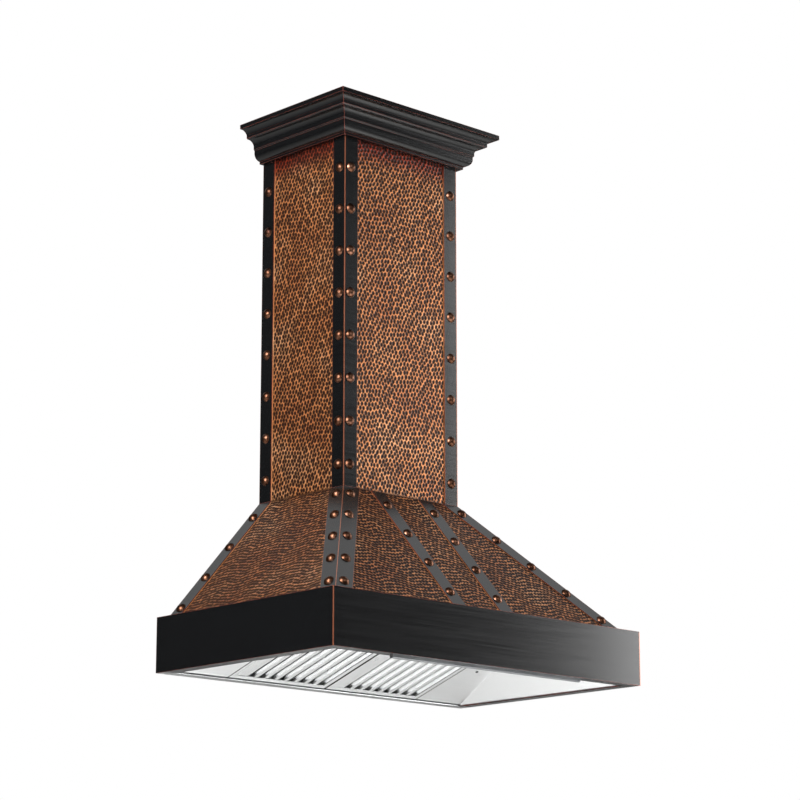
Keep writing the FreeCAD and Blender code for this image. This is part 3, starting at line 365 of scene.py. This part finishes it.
def hammered_copper(colours):
    """Hammered sheet copper, darkened with oxide, rubbed back and lacquered.

    The rims of the marks are bright and the hollows near black, and the lacquer adds a pale sheen at
    low angles."""
    material, tree, place = blank_material("hammered copper sheet")
    hollow = add(tree, "ShaderNodeAttribute", attribute_name="hollow").outputs["Fac"]
    # Oxide clouds are about 120 mm across; the fine mottling is a few millimetres.
    clouds = noise(tree, place, 8.0, 3.0, 0.6)
    mottle = noise(tree, place, 260.0, 2.0)
    rim = ramp(tree, clouds, [
        (0.30, srgb("#9f5f38")), (0.52, tuple(colours.copper)), (0.72, srgb("#c28d64"))])
    # The last few centimetres under the crown are painted red: partly a painted reflection, partly patina.
    crown_reflection_and_patina = remap(tree, split(tree, place)["Z"], 1.145, 1.2, 0.0, 0.9, "SMOOTHSTEP")
    reddened = blend(tree, crown_reflection_and_patina, rim, srgb("#741609"))
    # Rubbing brightens the rims most, leaves the slopes brown and misses the hollows.
    level = maths(tree, "ADD", hollow, maths(tree, "MULTIPLY", mottle, 0.16))
    rubbed = scaled(tree, reddened, remap(tree, level, 0.10, 0.36, 1.45, 0.32))
    dark = remap(tree, level, 0.36, 0.82, curve="SMOOTHSTEP")
    finish_surface(tree, {
        "Base Color": blend(tree, dark, rubbed, tuple(colours.patina)),
        "Metallic": remap(tree, dark, low=0.65, high=0.55),
        "Roughness": remap(tree, dark, low=0.46, high=0.60),
        "Normal": bump(tree, mottle, 0.12, 0.4 * MM),
        "Coat Weight": 0.12, "Coat Roughness": 0.28, "Specular IOR Level": 0.25})
    return material


class HOOD_OT_hammered_panels(bpy.types.Operator):
    """Hammers the six copper panels of the chimney and the roof"""
    bl_idname = "hood.hammered_panels"
    bl_label = "Hammered Copper Panels"

    def execute(self, context):
        look = context.scene.hood_hammer
        copper = hammered_copper(context.scene.hood_colours)
        cover = look.strap
        wall_cover = look.strap + REAR_STRAP_EXTRA
        facing = {"front": Vector((0, -1, 0)), "left": Vector((-1, 0, 0)), "right": Vector((1, 0, 0))}
        covers = {"front": (cover, cover), "left": (wall_cover, cover), "right": (cover, wall_cover)}
        for part, marks in MARKS.items():
            for side, outward in facing.items():
                on_middle_straps = (part, side) == ("roof", "front")
                bands = (-MIDDLE_STRAP_X, MIDDLE_STRAP_X) if on_middle_straps else ()
                panel = hammered_panel(f"{part}_{side}_panel", outward, covers[side], bands, marks, look)
                panel.data.materials.append(copper)
        return {"FINISHED"}


# ---------------------------------------------------------------- finishes of the other pieces
def paint(names, material):
    """Gives CAD pieces a material."""
    for name in names:
        slots = NODES[name].data.materials
        slots.clear()
        slots.append(material)


def named(*starts, end=""):
    """CAD pieces whose names begin in one of the given ways and have the given end."""
    return [name for name in NODES if name.startswith(starts) and name.endswith(end)]


def darkened_rivet_copper(colours):
    """Forged copper rivets dipped in oxide and wiped: brown skins with warmer, brighter patches."""
    material, tree, place = blank_material("darkened rivet copper")
    skin = noise(tree, place, 55.0, 4.0, 0.6)
    pits = noise(tree, place, 420.0, 2.0)
    finish_surface(tree, {
        "Base Color": ramp(tree, skin, [
            (0.32, srgb("#35201a")), (0.5, srgb("#60402f")), (0.7, srgb("#8c6452"))]),
        "Metallic": 1.0,
        "Roughness": remap(tree, skin, low=0.40, high=0.32),
        "Normal": bump(tree, pits, 0.10, 0.3 * MM)})
    return material


def rubbed_corner(tree, place, low, high, rub):
    """Where the enamel is rubbed off a corner line, from 0 to 1.

    low and high are (x, y, z) points on the right-hand line, which has its mirror on the left."""
    parts = split(tree, place)
    side = maths(tree, "ABSOLUTE", parts["X"])
    front = maths(tree, "MULTIPLY", parts["Y"], -1.0)
    masks = []
    for position, start, end in ((side, low[0], high[0]), (front, -low[1], -high[1])):
        line = remap(tree, parts["Z"], low[2], high[2], start, end)
        inside = maths(tree, "SUBTRACT", line, position)
        masks.append(remap(tree, inside, rub * 1.25, rub * 0.75))
    return maths(tree, "MULTIPLY", *masks)


def bare_underside(tree, place, colour, metal, steel, joint, front_end):
    """Leaves downward faces as bare steel, with a painted shadow line from the side flanges' inner edge.

    joint is that edge's distance from the middle, and front_end is where the line ends at the front."""
    parts = split(tree, place)
    facing = split(tree, add(tree, "ShaderNodeNewGeometry").outputs["True Normal"])
    down = remap(tree, facing["Z"], -0.7, -0.9)
    side = maths(tree, "ABSOLUTE", parts["X"])
    # Painted shadow: near-black along the flanges' inner edge, where they meet the liner.
    beside = remap(tree, side, joint + SHADOW_LINE_WIDTH, joint + SHADOW_LINE_WIDTH + SHADOW_LINE_BLUR)
    ahead = maths(tree, "LESS_THAN", parts["Y"], front_end)
    shade = blend(tree, maths(tree, "MAXIMUM", beside, ahead), srgb("#151515"), steel)
    return blend(tree, down, colour, shade), maths(tree, "MAXIMUM", metal, down)


def black_enamel(name, colours, corner=None, underside=None):
    """Satin black enamel over copper, rubbed through at every fold and cut edge.

    corner is the line of a corner that is rubbed too, as rubbed_corner takes it.
    underside is the steel, joint and front end of a bare underside, as bare_underside takes them."""
    material, tree, place = blank_material(name)
    normal = add(tree, "ShaderNodeNewGeometry").outputs["Normal"]
    rounded = add(tree, "ShaderNodeBevel", {"Radius": RUBBED_EDGE}, samples=8).outputs[0]
    straight = add(tree, "ShaderNodeVectorMath", {0: rounded, 1: normal}, operation="DOT_PRODUCT")
    edge = remap(tree, straight.outputs["Value"], 0.985, 0.93)
    # The rubbing comes and goes along an edge, over stretches of about 40 mm.
    patchy = remap(tree, noise(tree, place, 24.0, 3.0), 0.30, 0.58, 0.15, 0.9)
    worn = maths(tree, "MULTIPLY", edge, patchy)
    tone = tuple(colours.worn)
    if corner:
        rubbed = rubbed_corner(tree, place, *corner)
        worn = maths(tree, "MAXIMUM", worn, rubbed)
        tone = blend(tree, rubbed, tone, srgb("#a8664a"))
    # The sheet was brushed level before it was enamelled, and the strokes still show as faint streaks.
    streaks = noise(tree, stretched(tree, place, (6.0, 6.0, 700.0)), 1.0, 2.0)
    base = ramp(tree, streaks, [(0.3, srgb("#080809")), (0.7, tuple(colours.enamel))])
    colour = blend(tree, worn, base, tone)
    metal = maths(tree, "MULTIPLY", worn, 0.6)
    if underside:
        colour, metal = bare_underside(tree, place, colour, metal, *underside)
    rough = remap(tree, streaks, 0.3, 0.7, 0.16, 0.22)
    finish_surface(tree, {"Base Color": colour, "Metallic": metal, "Roughness": rough})
    return material


def painted_gap_shade(tree, place, colour):
    """Paints shade on a filter frame's side walls and the outermost 2 mm of its long edges, so that the gaps
    between the frames read dark.
    """
    facing = split(tree, add(tree, "ShaderNodeNewGeometry").outputs["True Normal"])
    wall = remap(tree, maths(tree, "ABSOLUTE", facing["X"]), 0.85, 0.95)
    side = maths(tree, "ABSOLUTE", split(tree, place)["X"])
    from_middle = maths(tree, "ABSOLUTE", maths(tree, "SUBTRACT", side, FILTER_MIDDLE_X))
    edge = remap(tree, from_middle, FILTER_SHADE_START, FILTER_SHADE_FULL)
    return blend(tree, maths(tree, "MAXIMUM", wall, edge), colour, srgb("#161514"))


def brushed_stainless(name, colour, roughness, along, gap_shaded=False):
    """Metal with a No. 4 brushed finish: fine streaks one way that blur what it reflects.

    Real streaks are under 0.1 mm; these are about 1 mm apart so that they show. along is their
    direction. A filter frame also gets painted shade on its side walls and edges, where the frames meet."""
    material, tree, place = blank_material(name)
    stretch = [1100.0, 1100.0, 1100.0]
    stretch["XYZ".index(along)] = 7.0
    streaks = noise(tree, stretched(tree, place, stretch), 1.0, 3.0, 0.65)
    smears = noise(tree, place, 6.0, 2.0)
    tone = scaled(tree, colour[:3], remap(tree, streaks, low=0.86, high=1.06))
    # Painted shade: the frame's side walls and outer edges are darkened so that the gaps between frames read
    # dark.
    if gap_shaded:
        tone = painted_gap_shade(tree, place, tone)
    finish_surface(tree, {
        "Base Color": tone, "Metallic": 1.0,
        "Roughness": remap(tree, smears, low=roughness - 0.05, high=roughness + 0.07),
        "Normal": bump(tree, streaks, 0.18, 0.3 * MM)})
    return material


def galvanised_sheet():
    """Hot-dipped galvanised steel: zinc crystals about 15 mm across in slightly different greys."""
    material, tree, place = blank_material("galvanised sheet")
    crystals = add(tree, "ShaderNodeTexVoronoi", {"Vector": place, "Scale": 65.0}).outputs["Color"]
    finish_surface(tree, {
        "Base Color": ramp(tree, crystals, [(0.1, srgb("#8d9297")), (0.9, srgb("#b9bec2"))]),
        "Metallic": 0.95,
        "Roughness": remap(tree, crystals, low=0.32, high=0.5)})
    return material


def moulded_plastic(name, code, roughness):
    """Black plastic or stove enamel with a fine grain of about half a millimetre, a little cloudy."""
    material, tree, place = blank_material(name)
    grain = noise(tree, place, 1800.0, 1.0)
    cloud = noise(tree, place, 30.0, 2.0)
    base = srgb(code)
    shade = tuple(0.85 * v for v in base[:3]) + (1,)
    finish_surface(tree, {
        "Base Color": ramp(tree, cloud, [(0.3, shade), (0.7, base)]),
        "Roughness": roughness,
        "Normal": bump(tree, grain, 0.15, 0.2 * MM)})
    return material


def frosted_lens():
    """Etched lamp glass: bright and milky, with a grain of about a millimetre."""
    material, tree, place = blank_material("frosted lamp glass")
    etch = noise(tree, place, 900.0, 2.0)
    finish_surface(tree, {
        "Base Color": ramp(tree, etch, [(0.35, srgb("#dfe3e2")), (0.65, srgb("#f6f7f4"))]),
        "Roughness": 0.18, "Transmission Weight": 0.35,
        "Normal": bump(tree, etch, 0.2, 0.2 * MM)})
    return material


class HOOD_OT_rivets(bpy.types.Operator):
    """Finishes the rivets in darkened copper"""
    bl_idname = "hood.rivets"
    bl_label = "Rivets"

    def execute(self, context):
        paint(["strap_rivets"], darkened_rivet_copper(context.scene.hood_colours))
        return {"FINISHED"}


class HOOD_OT_black_work(bpy.types.Operator):
    """Enamels the straps, skirt and crown black, with copper showing at the rubbed edges"""
    bl_idname = "hood.black_work"
    bl_label = "Black Enamelled Work"

    def execute(self, context):
        colours = context.scene.hood_colours
        skirt_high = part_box("skirt_right")[1]
        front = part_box("skirt_front")[0].y
        strap_low, strap_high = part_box("chimney_corner_strap_right")
        hip_low, hip_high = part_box("hip_strap_right")
        skirt_foot = (skirt_high.x, front, 0.0)
        skirt_top = (skirt_high.x, front, skirt_high.z)
        hip_foot = (hip_high.x, hip_low.y, hip_low.z)
        chimney_foot = (strap_high.x, strap_low.y, strap_low.z)
        chimney_top = (strap_high.x, strap_low.y, strap_high.z)
        # The underside's steel, and where its painted shadow line lies and ends.
        underside = (tuple(colours.steel), skirt_high.x - SKIRT_FLANGE, front + SHADOW_LINE_FRONT_END)
        paint(named("skirt"), black_enamel(
            "black enamel on the skirt", colours, (skirt_foot, skirt_top, RUBBED_CORNER), underside))
        paint(named("chimney_corner", "chimney_rear"), black_enamel(
            "black enamel on chimney straps", colours, (chimney_foot, chimney_top, RUBBED_CORNER)))
        paint(named("hip_strap", "roof_rear", "roof_middle"), black_enamel(
            "black enamel on roof straps", colours, (hip_foot, chimney_foot, RUBBED_HIP)))
        paint(named("crown"), black_enamel("black enamel on the crown", colours))
        return {"FINISHED"}


class HOOD_OT_liner(bpy.types.Operator):
    """Finishes the liner, filters and their small fittings in brushed stainless steel"""
    bl_idname = "hood.liner"
    bl_label = "Liner and Filters"

    def execute(self, context):
        steel = tuple(context.scene.hood_colours.steel)
        liner = brushed_stainless("brushed stainless liner", steel, 0.30, "X")
        baffle = brushed_stainless("brushed stainless baffles", steel, 0.26, "Y")
        # The filter frames carry painted shade on their side walls and edges.
        filter_frame = brushed_stainless("brushed stainless filter frames", steel, 0.28, "X", gap_shaded=True)
        fitting = brushed_stainless("turned stainless fittings", srgb("#b9babb"), 0.25, "X")
        black = brushed_stainless("black oxide screws", srgb("#2b2b2c"), 0.4, "X")
        rail = brushed_stainless("dull steel filter rail", srgb("#77797b"), 0.4, "X")
        paint(named("liner", "back_panel"), liner)
        paint(["filter_rail"], rail)
        paint(named("filter", end="_baffles"), baffle)
        paint(named("filter", end="_frame"), filter_frame)
        paint(named("filter", end="_pull"), fitting)
        paint(["small_screws"], black)
        return {"FINISHED"}


class HOOD_OT_lamps_and_buttons(bpy.types.Operator):
    """Finishes the lamps, the light bar and the switch panel"""
    bl_idname = "hood.lamps_and_buttons"
    bl_label = "Lamps and Buttons"

    def execute(self, context):
        ring = brushed_stainless("spun steel lamp rings", srgb("#cfd0d1"), 0.22, "X")
        bar = brushed_stainless("anodised aluminium bar", srgb("#77797b"), 0.36, "X")
        button = brushed_stainless("turned steel buttons", srgb("#bfc1c3"), 0.2, "Z")
        paint(named("lamp_housing"), ring)
        paint(named("lamp_lens"), frosted_lens())
        paint(["light_bar"], bar)
        paint(["switch_plate"], ring)
        paint(["switch_box"], moulded_plastic("black moulded switch box", "#1b1c1d", 0.5))
        paint(named("button_"), button)
        return {"FINISHED"}


class HOOD_OT_blower_and_duct(bpy.types.Operator):
    """Finishes the hidden sheet metal, blower, motor and duct collar"""
    bl_idname = "hood.blower_and_duct"
    bl_label = "Blower and Duct"

    def execute(self, context):
        zinc = galvanised_sheet()
        shaft = brushed_stainless("ground steel shaft", srgb("#a9abad"), 0.2, "X")
        paint(named("top_plate", "chimney_ring", "chimney_bracket", "blower", "impeller",
                    "duct_collar", "damper_flap"), zinc)
        paint(["motor"], moulded_plastic("black stove-enamelled motor", "#202224", 0.32))
        paint(["motor_shaft"], shaft)
        return {"FINISHED"}


# ---------------------------------------------------------------- stage
def soft_light(name, place, target, size, power):
    """A large rectangular lamp that faces a point."""
    bpy.ops.object.light_add(type="AREA", location=place)
    lamp = bpy.context.object
    lamp.name = name
    lamp.data.shape = "RECTANGLE"
    lamp.data.size, lamp.data.size_y = size
    lamp.data.energy = power
    lamp.rotation_euler = (Vector(target) - Vector(place)).to_track_quat("-Z", "Y").to_euler()


def pale_floor(height):
    """A matt floor, nearly white and a little uneven in tone."""
    bpy.ops.mesh.primitive_plane_add(size=16, location=(0, 0, height))
    floor = bpy.context.object
    floor.name = "pale_floor"
    material, tree, place = blank_material("pale matt floor")
    dust = noise(tree, place, 3.0, 4.0)
    tone = ramp(tree, dust, [(0.3, srgb("#eeeeec")), (0.7, srgb("#f6f6f4"))])
    finish_surface(tree, {"Base Color": tone, "Roughness": 0.9})
    floor.data.materials.append(material)


def white_studio():
    """A world that looks white and lights only faintly."""
    world = bpy.data.worlds.new("white studio")
    bpy.context.scene.world = world
    world.use_nodes = True
    tree = world.node_tree
    tree.nodes.clear()
    seen = add(tree, "ShaderNodeLightPath").outputs["Is Camera Ray"]
    strength = remap(tree, seen, low=0.06, high=1.0)
    sky = add(tree, "ShaderNodeBackground", {"Color": srgb("#ffffff"), "Strength": strength})
    add(tree, "ShaderNodeOutputWorld", {"Surface": sky.outputs[0]})


class HOOD_OT_stage(bpy.types.Operator):
    """Sets up the floor, lights, background and camera"""
    bl_idname = "hood.stage"
    bl_label = "Stage"

    def execute(self, context):
        stage = context.scene.hood_stage
        pale_floor(stage.floor)
        soft_light("right_softbox", (3.32, -2.25, 1.1), (0.3, -0.4, 0.5), (1.5, 2.6), 94)
        soft_light("left_softbox", (-3.6, -1.3, 1.7), (0.0, -0.2, 0.6), (1.6, 2.4), 300)
        soft_light("front_softbox", (-0.6, -4.6, 2.6), (0.0, -0.2, 0.6), (1.6, 1.6), 28)
        soft_light("roof_right_softbox", (2.5, 0.1, 2.9), (0.2, -0.4, 0.25), (2.2, 2.2), 10.5)
        soft_light("roof_left_softbox", (0.2, 2.3, 2.9), (-0.3, -0.3, 0.25), (1.8, 1.8), 5.5)
        soft_light("floor_wash", (0.2, -1.6, -0.4), (0.2, -1.6, -1.65), (3.0, 3.0), 172)
        white_studio()
        bpy.ops.object.camera_add(location=stage.eye,
                                  rotation=(math.radians(90) + stage.tilt, 0, -stage.turn))
        camera = context.object
        camera.data.lens = stage.lens
        camera.data.sensor_width = 36
        camera.data.clip_start, camera.data.clip_end = 0.1, 60
        context.scene.camera = camera
        context.scene.view_settings.view_transform = "Standard"
        return {"FINISHED"}


class HOOD_PT_panel(bpy.types.Panel):
    """The hood's operators and settings"""
    bl_idname = "HOOD_PT_panel"
    bl_label = "Range Hood"
    bl_space_type = "VIEW_3D"
    bl_region_type = "UI"
    bl_category = "Hood"

    def draw(self, context):
        for operator in OPERATORS:
            self.layout.operator(operator.bl_idname)
        for group in (context.scene.hood_hammer, context.scene.hood_colours, context.scene.hood_stage):
            box = self.layout.box()
            for name in group.__annotations__:
                box.prop(group, name)


OPERATORS = (HOOD_OT_hammered_panels, HOOD_OT_rivets, HOOD_OT_black_work, HOOD_OT_liner,
             HOOD_OT_lamps_and_buttons, HOOD_OT_blower_and_duct, HOOD_OT_stage)
GROUPS = {"hood_hammer": HoodHammerSettings, "hood_colours": HoodColourSettings,
          "hood_stage": HoodStageSettings}


def register():
    for item in (*GROUPS.values(), *OPERATORS, HOOD_PT_panel):
        bpy.utils.register_class(item)
    for name, group in GROUPS.items():
        setattr(bpy.types.Scene, name, PointerProperty(type=group))


def unregister():
    for name in GROUPS:
        delattr(bpy.types.Scene, name)
    for item in reversed((*GROUPS.values(), *OPERATORS, HOOD_PT_panel)):
        bpy.utils.unregister_class(item)


def main():
    register()
    bpy.ops.hood.hammered_panels()
    bpy.ops.hood.rivets()
    bpy.ops.hood.black_work()
    bpy.ops.hood.liner()
    bpy.ops.hood.lamps_and_buttons()
    bpy.ops.hood.blower_and_duct()
    bpy.ops.hood.stage()


if __name__ == "__main__":
    main()
